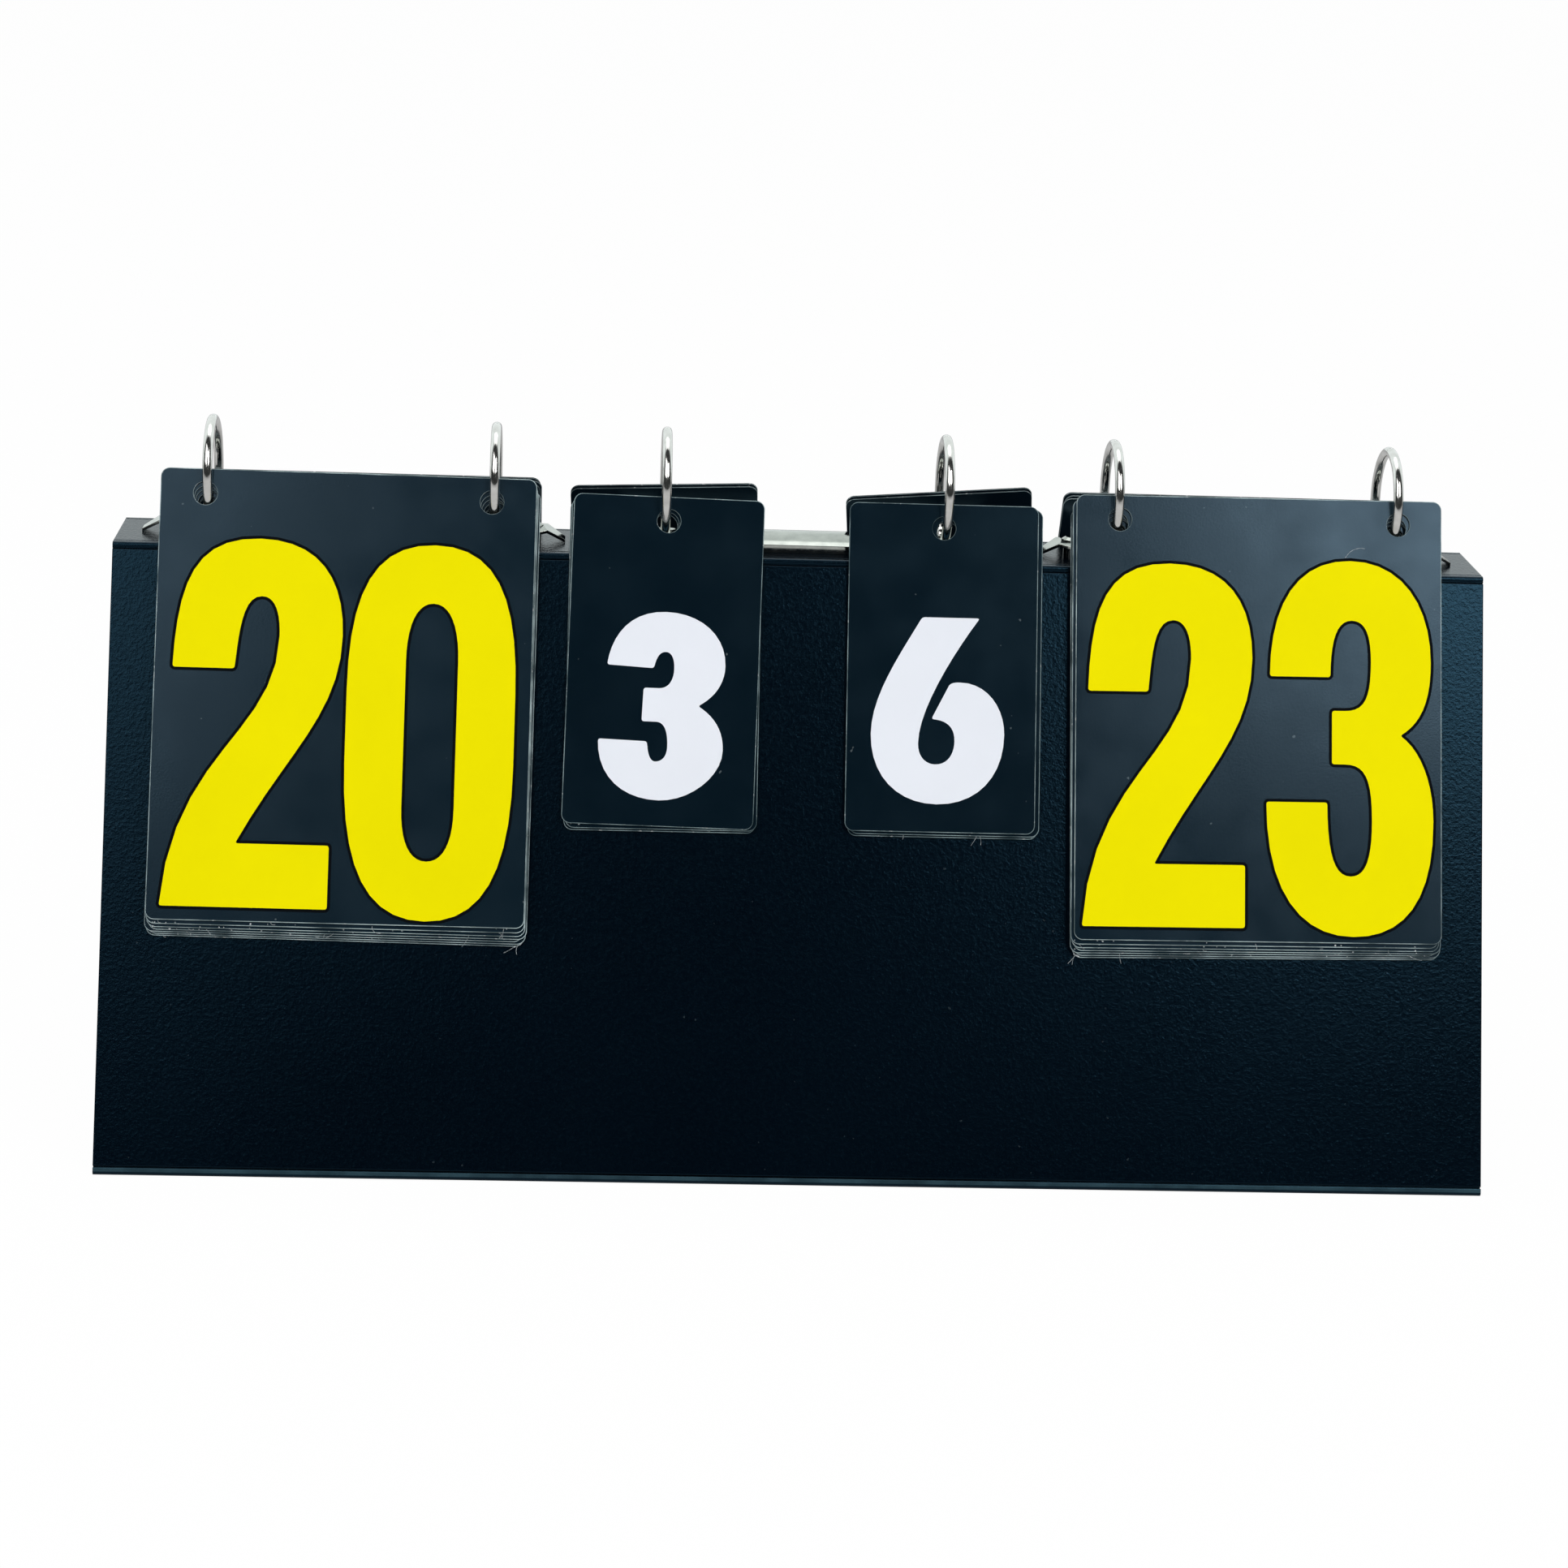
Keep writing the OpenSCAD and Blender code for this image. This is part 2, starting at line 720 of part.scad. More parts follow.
six_outline = concat(
    chain([
        [0.33, 1.013], [0.09, 0.79], [-0.155, 0.5], [-0.155, 0.33],
        [-0.155, 0.25], [-0.085, 0.217], [-0.014, 0.217],
        [0.09, 0.217], [0.139, 0.28], [0.139, 0.343],
        [0.139, 0.42], [0.08, 0.458], [-0.05, 0.462]
    ]),
    chain([
        [0.088, 0.644], [0.105, 0.661], [0.14, 0.663], [0.179, 0.663],
        [0.4, 0.663], [0.54, 0.53], [0.54, 0.385],
        [0.54, 0.16], [0.33, 0.002], [0, 0.002],
        [-0.32, 0.002], [-0.537, 0.15], [-0.537, 0.375],
        [-0.537, 0.58], [-0.32, 0.8], [-0.135, 1.013]
    ])
);

module print_face(w, h, foot) {
    translate([0, hole_edge - h + foot, card_t / 2])
        children();
}

module large_card() {
    color(card_colour)
        card(large_w, large_h, ring_xs);
}

module small_card() {
    color(small_card_colour)
        card(small_w, small_h, [0]);
}

// Two numerals side by side, given as children
module numeral_pair(digit_pitch) {
    color(yellow)
        print_face(large_w, large_h, large_digit_foot) {
            translate([-digit_pitch / 2, 0, 0])
                children(0);
            translate([digit_pitch / 2, 0, 0])
                children(1);
        }
}

// side: -1 for the large cards on the left, 1 for those on the right
module large_front(side) {
    hang_front(
        side * mechanism_pitch, large_waiting_depth, side * large_shift,
        side * fan_turn(large_fan, large_waiting), ring_pitch / 2
    )
        children();
}

// side: -1 for the small cards on the left, 1 for those on the right
module small_front(side, swing) {
    hang_front(side * small_ring_x, small_waiting_depth, -side * small_shift, swing)
        children();
}

// A small card's numeral, printed this far to the right of the card's middle
module small_numeral(side, swing, offset, outline) {
    small_front(side, swing)
        color(white)
            print_face(small_w, small_h, small_digit_foot)
                translate([offset, 0, 0])
                    numeral(small_digit_w, small_digit_h, outline);
}

module large_pack(side) {
    color(card_colour)
        large_cards(side * mechanism_pitch, large_waiting, side * large_fan);
}

module small_pack(side) {
    color(small_card_colour)
        small_cards(side * small_ring_x, small_waiting);
}

module large_turned_card(mechanism) {
    mirror([0, 1, 0])
        hang_front(mechanism, large_turned_depth)
            large_card();
}

module large_turned_pack(mechanism) {
    color(card_colour)
        mirror([0, 1, 0])
            large_cards(mechanism, large_turned);
}

module small_turned_card(x, swing) {
    mirror([0, 1, 0])
        hang_front(x, small_turned_depth, 0, swing)
            small_card();
}

module small_turned_pack(x, swing) {
    color(small_card_colour)
        mirror([0, 1, 0])
            small_cards(x, small_turned, swing);
}

spine();
front_panel();
rear_panel();
base_flap();
closing_tab();
hook_pads();
loop_pads();
ring_cover(left_x);  // left_cover
rivets(left_x);  // left_rivets
front_blade(left_x);  // left_front_blade
rear_blade(left_x);  // left_rear_blade
front_half_rings(left_x);  // left_front_half_rings
rear_half_rings(left_x);  // left_rear_half_rings
ring_cover(middle_x);  // middle_cover
rivets(middle_x);  // middle_rivets
front_blade(middle_x);  // middle_front_blade
rear_blade(middle_x);  // middle_rear_blade
front_half_rings(middle_x);  // middle_front_half_rings
rear_half_rings(middle_x);  // middle_rear_half_rings
ring_cover(right_x);  // right_cover
rivets(right_x);  // right_rivets
front_blade(right_x);  // right_front_blade
rear_blade(right_x);  // right_rear_blade
front_half_rings(right_x);  // right_front_half_rings
rear_half_rings(right_x);  // right_rear_half_rings
large_front(-1) large_card();  // left_score_card
large_front(-1) numeral_pair(left_digit_pitch) {  // left_score_numerals
        numeral(large_digit_w, large_digit_h, two_outline);
        zero(large_digit_w, large_digit_h);
    }
large_pack(-1);  // left_score_pack
large_turned_card(left_x);  // left_score_turned_card
large_turned_pack(left_x);  // left_score_turned_pack
small_front(-1, front_swing) small_card();  // left_set_card
small_numeral(-1, front_swing, 0, small_three);  // left_set_numeral
small_pack(-1);  // left_set_pack
small_turned_card(-small_ring_x, left_swing);  // left_set_turned_card
small_turned_pack(-small_ring_x, left_swing);  // left_set_turned_pack
small_front(1, 0) small_card();  // right_set_card
small_numeral(1, 0, -six_shift, six_outline);  // right_set_numeral
small_pack(1);  // right_set_pack
small_turned_card(small_ring_x, right_swing);  // right_set_turned_card
small_turned_pack(small_ring_x, right_swing);  // right_set_turned_pack
large_front(1) large_card();  // right_score_card
large_front(1) numeral_pair(right_digit_pitch) {  // right_score_numerals
        numeral(large_digit_w, large_digit_h, two_outline);
        numeral(large_digit_w, large_digit_h, large_three);
    }
large_pack(1);  // right_score_pack
large_turned_card(right_x);  // right_score_turned_card
large_turned_pack(right_x);  // right_score_turned_pack
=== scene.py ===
"""Looks of a tabletop flip scoreboard: a folding sheet case standing as an A-frame,
ring binder mechanisms on its spine and four stacks of number cards.

Everything is in metres in the CAD frame: X along the spine, -Y towards the reader, Z up.
"""

import json
import math
import random

import bmesh
import bpy
from mathutils import Matrix, Vector


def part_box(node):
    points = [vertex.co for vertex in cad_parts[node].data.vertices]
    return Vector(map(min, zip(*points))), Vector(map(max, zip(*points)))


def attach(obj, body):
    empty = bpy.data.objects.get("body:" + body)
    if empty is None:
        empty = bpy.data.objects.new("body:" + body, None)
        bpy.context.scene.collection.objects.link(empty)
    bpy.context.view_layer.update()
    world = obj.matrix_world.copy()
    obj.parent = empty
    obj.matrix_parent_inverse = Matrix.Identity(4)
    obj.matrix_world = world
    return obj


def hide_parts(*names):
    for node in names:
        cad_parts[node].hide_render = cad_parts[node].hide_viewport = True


MM = 0.001

# Camera, fitted to the case's corners and the ring tops in the photograph.
# Angles are in degrees and lengths in metres. The offsets run across the view
# from the middle of the spine's top to the view's axis.
CAMERA_PITCH = 18.0
CAMERA_YAW = -3.5
CAMERA_ROLL = 2.36
CAMERA_ACROSS = -0.0027
CAMERA_UP = -0.0684
CAMERA_DISTANCE = 0.9809
CAMERA_LENS = 78.2
CAMERA_SENSOR = 36.0

# Lean of the panels and the cards from upright, as in the CAD model
LEAN = math.radians(22)
FACING_FRONT = Vector((0, -math.cos(LEAN), math.sin(LEAN)))
FACING_REAR = Vector((0, math.cos(LEAN), math.sin(LEAN)))
UP_FRONT = Vector((0, math.sin(LEAN), math.cos(LEAN)))
ALONG = Vector((1, 0, 0))

# Reading the solids' meshes: points this close are one, faces this close share a plane,
# and a face looks a given way when the cosine between the two is above the limit
SAME_POINT = 0.002 * MM
SAME_PLANE = 0.02 * MM
FACING_LIMIT = 0.98

# Sharp corners of an outline move no further than this limit allows when it is inset
MITRE_LIMIT = 0.3

# Cards: the cut edge is bevelled, and the print stops a little way in from it
CARD_BEVEL = 0.10 * MM
CARD_MARGIN = 0.21 * MM

# Black line round the yellow numerals, and how far it stands over the card
LINE_WIDTH = 0.85 * MM
LINE_HEIGHT = 0.05 * MM
LINE_OVERLAP = 0.2 * MM
PRINT_HEIGHT = 0.1 * MM

# Lint on the packs' lower edges. Sizes and lengths are ranges in millimetres.
FLAKE_CORNERS = 7
FLAKE_SIZES = (0.12, 0.42)
FLAKE_LIFT = 0.1 * MM
FIBRE_LENGTHS = (1.2, 4.0)
FIBRE_LIFTS = (0.1, 0.3)
FIBRE_RADIUS = 0.06 * MM
FIBRE_STEPS = 12
EDGE_DEPTH = 1.2 * MM

# The hair on the right score card, from the middle of the card's upper edge
HAIR_RIGHT = 24.4 * MM
HAIR_BELOW = 16.9 * MM
HAIR_HEADING = 1.25
HAIR_BEND = -1.25
HAIR_LENGTH = 6.8 * MM

# Living hinges: a thin web wraps each bead where the next sheet turns on it
BEAD_RADIUS = 1.0 * MM
WEB_THICKNESS = 0.24 * MM
WEB_HALF_ANGLE = math.radians(50)
WEB_INNER_SHARE = 0.98
WEB_STEPS = 16

# Painted highlight: a pale line along the front panel's foot that stands for the floor's reflection in the hinge
# bead, placed from the hinge axis
FOOT_HIGHLIGHT_OUT = 0.9 * MM
FOOT_HIGHLIGHT_UP = 0.9 * MM
FOOT_HIGHLIGHT_RADIUS = 0.75 * MM

# Studio: half the floor's width, its drop below the part, and what rays see of it
FLOOR_HALF = 6.0
FLOOR_DROP = 0.0002
FLOOR_CAMERA_SHARE = 0.98
FLOOR_MIRROR_SHARE = 0.6
FLOOR_MIRROR_STRENGTH = 0.45
ROOM_STRENGTH = 0.42
DARK_STRENGTH = 0.03
DARK_UNTIL = -0.15
WHITE_FROM = 0.25
LAMP_AIM = Vector((0, 0, 0.1))

MECHANISMS = ("left", "middle", "right")
LARGE_STACKS = ("left_score", "right_score")
SMALL_STACKS = ("left_set", "right_set")

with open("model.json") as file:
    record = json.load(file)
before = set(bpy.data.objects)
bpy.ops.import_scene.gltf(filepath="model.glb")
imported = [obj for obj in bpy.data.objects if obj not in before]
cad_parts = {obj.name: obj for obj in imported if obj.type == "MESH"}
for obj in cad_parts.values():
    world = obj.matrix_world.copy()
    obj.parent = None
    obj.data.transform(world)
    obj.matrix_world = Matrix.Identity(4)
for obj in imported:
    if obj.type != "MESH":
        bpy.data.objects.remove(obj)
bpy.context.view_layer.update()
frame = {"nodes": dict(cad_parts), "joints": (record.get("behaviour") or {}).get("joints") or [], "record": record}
nodes = frame["nodes"]
joints = {joint["name"]: joint for joint in frame["joints"]}
members_of_body = frame["record"]["behaviour"]["bodies"]
body_of_node = {node: body for body, members in members_of_body.items() for node in members}


# Camera

def make_camera():
    low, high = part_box("spine")
    target = Vector(((low.x + high.x) / 2, (low.y + high.y) / 2, high.z))
    pitch = math.radians(CAMERA_PITCH)
    roll = math.radians(CAMERA_ROLL)
    turn = Matrix.Rotation(math.radians(CAMERA_YAW), 3, "Z")
    ahead = turn @ Vector((0, math.cos(pitch), -math.sin(pitch)))
    upward = turn @ Vector((0, math.sin(pitch), math.cos(pitch)))
    right = turn @ Vector((1, 0, 0))
    place = target + CAMERA_ACROSS * right + CAMERA_UP * upward - CAMERA_DISTANCE * ahead
    x_axis = math.cos(roll) * right + math.sin(roll) * upward
    y_axis = math.cos(roll) * upward - math.sin(roll) * right
    data = bpy.data.cameras.new("camera")
    data.sensor_width = CAMERA_SENSOR
    data.lens = CAMERA_LENS
    data.clip_start = 0.05
    data.clip_end = 20
    camera = bpy.data.objects.new("camera", data)
    bpy.context.scene.collection.objects.link(camera)
    axes = Matrix((x_axis, y_axis, -ahead)).transposed()
    camera.matrix_world = Matrix.Translation(place) @ axes.to_4x4()
    bpy.context.scene.camera = camera


make_camera()


# Node building

class NodeTree:
    """A node tree, and short calls to add nodes to it."""

    def __init__(self, tree):
        self.tree = tree

    def add(self, kind, **values):
        node = self.tree.nodes.new("ShaderNode" + kind)
        for name, value in values.items():
            setattr(node, name, value)
        return node

    def link(self, source, target):
        self.tree.links.new(source, target)

    def feed(self, socket, value):
        """Sets a socket to a number or a colour, or links it to another node's output."""
        if isinstance(value, tuple):
            socket.default_value = (*value, 1)
        elif isinstance(value, (int, float)):
            socket.default_value = value
        else:
            self.link(value, socket)

    def math(self, operation, first, second=0.0):
        node = self.add("Math", operation=operation)
        self.feed(node.inputs[0], first)
        self.feed(node.inputs[1], second)
        return node.outputs["Value"]


class Shader(NodeTree):
    """A new material with a Principled shader."""

    def __init__(self, name, **sockets):
        self.material = bpy.data.materials.new(name)
        self.material.use_nodes = True
        super().__init__(self.material.node_tree)
        self.principled = self.tree.nodes["Principled BSDF"]
        for socket, value in sockets.items():
            title = socket.replace("_", " ").title().replace("Ior", "IOR")
            self.feed(self.principled.inputs[title], value)

    def coordinates(self):
        return self.add("TexCoord").outputs["Object"]

    def noise(self, scale, detail=2.0, roughness=0.5, vector=None):
        node = self.add("TexNoise")
        node.inputs["Scale"].default_value = scale
        node.inputs["Detail"].default_value = detail
        node.inputs["Roughness"].default_value = roughness
        self.link(vector or self.coordinates(), node.inputs["Vector"])
        return node.outputs["Fac"]

    def cells(self, scale):
        node = self.add("TexVoronoi", feature="F1")
        node.inputs["Scale"].default_value = scale
        self.link(self.coordinates(), node.inputs["Vector"])
        return node.outputs["Distance"]

    def near_line(self, y, z, radius):
        """A value of 1 near a line along X, falling to 0 at a radius from it."""
        place = self.add("SeparateXYZ")
        self.link(self.coordinates(), place.inputs["Vector"])
        across = self.math("POWER", self.math("SUBTRACT", place.outputs["Y"], y), 2.0)
        above = self.math("POWER", self.math("SUBTRACT", place.outputs["Z"], z), 2.0)
        distance = self.math("SQRT", self.math("ADD", across, above))
        node = self.add("MapRange")
        node.inputs["From Min"].default_value = radius
        node.inputs["From Max"].default_value = 0.7 * radius
        self.link(distance, node.inputs["Value"])
        return node.outputs["Result"]

    def ramp(self, source, stops):
        """Maps a 0 to 1 value through (position, colour or grey) stops."""
        node = self.add("ValToRGB")
        elements = node.color_ramp.elements
        while len(elements) < len(stops):
            elements.new(0.5)
        for element, (position, colour) in zip(elements, stops):
            element.position = position
            element.color = (*colour, 1) if isinstance(colour, tuple) else (colour, colour, colour, 1)
        self.link(source, node.inputs["Fac"])
        return node.outputs["Color"]

    def mix(self, amount, first, second):
        node = self.add("MixRGB")
        for socket, value in zip(node.inputs, (amount, first, second)):
            self.feed(socket, value)
        return node.outputs["Color"]

    def bump(self, height, distance, strength):
        """Adds a bump over the normal that the shader already has."""
        node = self.add("Bump")
        node.inputs["Distance"].default_value = distance
        node.inputs["Strength"].default_value = strength
        self.link(height, node.inputs["Height"])
        above = self.principled.inputs["Normal"]
        if above.is_linked:
            self.link(above.links[0].from_socket, node.inputs["Normal"])
        self.link(node.outputs["Normal"], above)

    def soften_edges(self, radius):
        """Rounds the look of sharp edges."""
        node = self.add("Bevel", samples=6)
        node.inputs["Radius"].default_value = radius
        self.link(node.outputs["Normal"], self.principled.inputs["Normal"])

    def colour(self, source):
        self.link(source, self.principled.inputs["Base Color"])

    def roughness(self, source):
        self.link(source, self.principled.inputs["Roughness"])


def scaled(colour, factor):
    return tuple(c * factor for c in colour)


# Materials

def sheet_material():
    """Blue-black polypropylene sheet with a fine pebble grain."""
    s = Shader("pebbled_sheet", specular_ior_level=0.30, specular_tint=(0.25, 0.66, 1.0))
    s.soften_edges(0.5 * MM)
    tone = s.ramp(s.noise(11, 3), [(0.3, (0.0003, 0.0016, 0.0040)), (0.75, (0.0006, 0.0025, 0.0056))])
    pebble = s.noise(950, 3, 0.65)
    dust = s.ramp(s.noise(640, 1), [(0.795, 0.0), (0.815, 1.0)])
    dusted = s.mix(s.math("MULTIPLY", dust, 0.3), tone, (0.06, 0.08, 0.09))
    # Painted highlight: the bead at the foot is painted pale where it would reflect the floor, broken up by noise
    foot = joints["base_flap_hinge"]["pos_m"]
    foot_highlight = s.near_line(foot[1] - FOOT_HIGHLIGHT_OUT, foot[2] + FOOT_HIGHLIGHT_UP, FOOT_HIGHLIGHT_RADIUS)
    highlight_breakup = s.ramp(s.noise(90, 3), [(0.3, 0.45), (0.6, 1.0)])
    s.colour(s.mix(s.math("MULTIPLY", foot_highlight, highlight_breakup), dusted, (0.026, 0.055, 0.070)))
    s.roughness(s.ramp(pebble, [(0.3, 0.24), (0.7, 0.14)]))
    s.bump(pebble, 0.14 * MM, 0.6)
    return s.material


def card_material(name, face, rough, specular, tint):
    """The printed face of a laminated plastic card."""
    s = Shader(name, specular_ior_level=specular, specular_tint=tint)
    tone = s.ramp(s.noise(18, 3), [(0.3, scaled(face, 0.9)), (0.75, scaled(face, 1.1))])
    fine = s.noise(1900, 2)
    grained = s.mix(s.math("MULTIPLY", fine, 0.12), tone, scaled(face, 1.9))
    dust = s.ramp(s.noise(420, 1), [(0.80, 0.0), (0.815, 1.0)])
    s.colour(s.mix(s.math("MULTIPLY", dust, 0.4), grained, (0.16, 0.19, 0.20)))
    s.roughness(s.ramp(s.noise(70, 4), [(0.3, rough - 0.04), (0.7, rough + 0.05)]))
    s.bump(fine, 0.02 * MM, 0.5)
    return s.material


def rim_material(name, low, high):
    """The cut edge of a card with nicks and dust along it. Given pale colours, as for the bevels, its tone is a
    painted highlight for the light that the bevelled edge catches; given dark colours, as for the wall, it is the
    edge's own tone.
    """
    s = Shader(name, specular_ior_level=0.4)
    # Tone from the low to the high colour; on the bevels the pale end is painted highlight
    wear_and_highlight = s.ramp(s.noise(110, 3), [(0.34, low), (0.64, high)])
    nicks = s.ramp(s.noise(800, 2), [(0.64, 0.0), (0.70, 1.0)])
    s.colour(s.mix(s.math("MULTIPLY", nicks, 0.7), wear_and_highlight, (0.50, 0.52, 0.52)))
    s.roughness(s.ramp(s.noise(300, 2), [(0.3, 0.38), (0.7, 0.6)]))
    s.bump(s.noise(2000, 2), 0.03 * MM, 0.6)
    return s.material


def print_material(name, colour, rough):
    """Screen-printed ink: flat colour with a faint unevenness."""
    s = Shader(name, specular_ior_level=0.015)
    cloud = s.noise(30, 3)
    s.colour(s.ramp(cloud, [(0.3, scaled(colour, 0.96)), (0.75, colour)]))
    s.roughness(s.ramp(s.noise(120, 3), [(0.3, rough - 0.05), (0.7, rough + 0.05)]))
    s.bump(s.noise(2800, 2), 0.01 * MM, 0.3)
    return s.material


def nickel_material(name, low, high):
    """Nickel plating with faint drawing marks and a few dull spots."""
    s = Shader(name, metallic=1.0)
    s.soften_edges(0.3 * MM)
    spots = s.noise(260, 4)
    s.colour(s.ramp(spots, [(0.3, low), (0.7, high)]))
    s.roughness(s.ramp(s.noise(700, 3), [(0.3, 0.07), (0.75, 0.17)]))
    s.bump(s.noise(420, 2), 0.03 * MM, 0.35)
    return s.material


def blade_material():
    """Plain spring steel, brushed along the blade."""
    s = Shader("blade_steel", metallic=1.0)
    stretch = s.add("Mapping")
    stretch.inputs["Scale"].default_value = (30, 1800, 1800)
    s.link(s.coordinates(), stretch.inputs["Vector"])
    brushed = s.noise(1, 2, vector=stretch.outputs["Vector"])
    s.colour(s.ramp(brushed, [(0.3, (0.30, 0.30, 0.29)), (0.7, (0.42, 0.42, 0.41))]))
    s.roughness(s.ramp(brushed, [(0.3, 0.30), (0.7, 0.45)]))
    s.bump(brushed, 0.01 * MM, 0.4)
    return s.material


def pad_material(name, scale, colour):
    """Woven hook or loop pad."""
    s = Shader(name, roughness=0.9, specular_ior_level=0.2, sheen_weight=0.3)
    weave = s.cells(scale)
    s.colour(s.ramp(weave, [(0.1, colour), (0.7, scaled(colour, 0.3))]))
    s.bump(weave, 0.4 * MM, 0.9)
    return s.material


def lint_material():
    """Paper dust and fibres: dull and pale."""
    s = Shader("lint", specular_ior_level=0.1)
    s.colour(s.ramp(s.noise(900, 2), [(0.35, (0.16, 0.19, 0.20)), (0.65, (0.50, 0.53, 0.54))]))
    s.roughness(s.ramp(s.noise(1500, 1), [(0.3, 0.8), (0.7, 0.95)]))
    s.bump(s.noise(5000, 2), 0.02 * MM, 0.5)
    return s.material


LARGE_FACE = (0.0034, 0.0105, 0.0170)
SMALL_FACE = (0.0016, 0.0060, 0.0105)

sheet = sheet_material()
large_face = card_material(
    "large_card_face", LARGE_FACE, rough=0.20, specular=0.4, tint=(0.52, 0.78, 1.0)
)
small_face = card_material(
    "small_card_face", SMALL_FACE, rough=0.21, specular=0.20, tint=(0.4, 0.75, 1.0)
)
# The rims' pale colours are painted highlight on the cards' bevels; the walls' dark colours are the edges' own
# tone
large_rim_highlight = rim_material("large_card_rim", (0.070, 0.105, 0.110), (0.40, 0.50, 0.51))
small_rim_highlight = rim_material("small_card_rim", (0.030, 0.060, 0.068), (0.23, 0.31, 0.32))
large_wall = rim_material("large_card_wall", (0.003, 0.008, 0.011), (0.010, 0.020, 0.026))
small_wall = rim_material("small_card_wall", (0.002, 0.006, 0.009), (0.008, 0.016, 0.022))
yellow = print_material("yellow_print", (0.855, 0.755, 0.0), rough=0.5)
white = print_material("white_print", (0.79, 0.81, 0.86), rough=0.5)
line_black = print_material("black_print", (0.003, 0.004, 0.005), rough=0.45)
ring_nickel = nickel_material("ring_nickel", (0.66, 0.65, 0.62), (0.84, 0.83, 0.80))
cover_nickel = nickel_material("cover_nickel", (0.38, 0.40, 0.37), (0.50, 0.52, 0.48))
blade_steel = blade_material()
loop_fabric = pad_material("loop_fabric", 2200, (0.03, 0.03, 0.032))
hook_fabric = pad_material("hook_fabric", 1500, (0.02, 0.02, 0.022))
lint = lint_material()


def dress(node, material):
    mesh = nodes[node].data
    mesh.materials.clear()
    mesh.materials.append(material)


for name in ("spine", "front_panel", "rear_panel", "base_flap", "closing_tab"):
    dress(name, sheet)
dress("hook_pads", hook_fabric)
dress("loop_pads", loop_fabric)
for side in MECHANISMS:
    for name in ("cover", "rivets"):
        dress(f"{side}_{name}", cover_nickel)
    for name in ("front_half_rings", "rear_half_rings"):
        dress(f"{side}_{name}", ring_nickel)
    for name in ("front_blade", "rear_blade"):
        dress(f"{side}_{name}", blade_steel)
for stack in LARGE_STACKS:
    dress(f"{stack}_numerals", yellow)
for stack in SMALL_STACKS:
    dress(f"{stack}_numeral", white)


# Outlines of flat pieces

def face_outlines(node, facing):
    """The closed outlines of a node's faces on one side, each as points with the face on the left."""
    work = bmesh.new()
    work.from_mesh(nodes[node].data)
    bmesh.ops.remove_doubles(work, verts=work.verts, dist=SAME_POINT)
    front = [face for face in work.faces if face.normal.dot(facing) > FACING_LIMIT]
    members = set(front)
    after = {}
    # Taken in the mesh's own order, which is the same in every run
    for face in front:
        for loop in face.loops:
            if not any(other in members for other in loop.edge.link_faces if other is not face):
                after[loop.vert] = loop.link_loop_next.vert
    outlines = []
    while after:
        first, here = after.popitem()
        points = [first.co.copy()]
        while here in after:
            points.append(here.co.copy())
            here = after.pop(here)
        outlines.append(points)
    work.free()
    return outlines


def ring_inside(points, facing, inset, depth):
    """The outline moved into its face by an inset, and down from the face by a depth."""
    moved = []
    count = len(points)
    for i, here in enumerate(points):
        into = (here - points[i - 1]).normalized()
        out = (points[(i + 1) % count] - here).normalized()
        first = facing.cross(into)
        second = facing.cross(out)
        reach = (first + second) / max(1 + first.dot(second), MITRE_LIMIT)
        moved.append(here + reach * inset - facing * depth)
    return moved


def add_ring(work, points):
    return [work.verts.new(point) for point in points]


def bridge(work, lower, upper, material):
    """Joins two rings with a band of faces."""
    count = len(lower)
    for i in range(count):
        corners = (lower[i], lower[(i + 1) % count], upper[(i + 1) % count], upper[i])
        work.faces.new(corners).material_index = material


def fill(work, rings, facing, material):
    """Fills the face that a group of rings bounds."""
    edges = []
    for ring in rings:
        for i, vert in enumerate(ring):
            edges.append(work.edges.get((vert, ring[(i + 1) % len(ring)])))
    made = bmesh.ops.triangle_fill(work, edges=edges, use_beauty=True, normal=facing)
    for item in made["geom"]:
        if isinstance(item, bmesh.types.BMFace):
            item.material_index = material
            if item.normal.dot(facing) < 0:
                item.normal_flip()


def finish_piece(work, name, materials, body):
    mesh = bpy.data.meshes.new(name)
    work.to_mesh(mesh)
    work.free()
    for material in materials:
        mesh.materials.append(material)
    piece = bpy.data.objects.new(name, mesh)
    bpy.context.scene.collection.objects.link(piece)
    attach(piece, body)
    return piece


def enclosed(ring, outer):
    """Whether a ring's first point lies within another ring's box."""
    point = ring[0]
    return all(
        min(p[axis] for p in outer) <= point[axis] <= max(p[axis] for p in outer)
        for axis in (0, 2)
    )


def signed_area(points, facing):
    total = Vector((0, 0, 0))
    for i, point in enumerate(points):
        total += points[i - 1].cross(point)
    return total.dot(facing) / 2


def faces_of(outlines, facing):
    """Groups a node's outlines into faces: each outer outline with the holes in its plane."""
    outers = [ring for ring in outlines if signed_area(ring, facing) > 0]
    holes = [ring for ring in outlines if signed_area(ring, facing) <= 0]
    groups = []
    for outer in outers:
        level = outer[0].dot(facing)
        beside = [hole for hole in holes if abs(hole[0].dot(facing) - level) < SAME_PLANE]
        groups.append([outer, *(hole for hole in beside if enclosed(hole, outer))])
    return groups


# Cards with a bevelled edge round their printed faces, the bevels painted pale as a highlight

FACE, RIM, WALL = range(3)


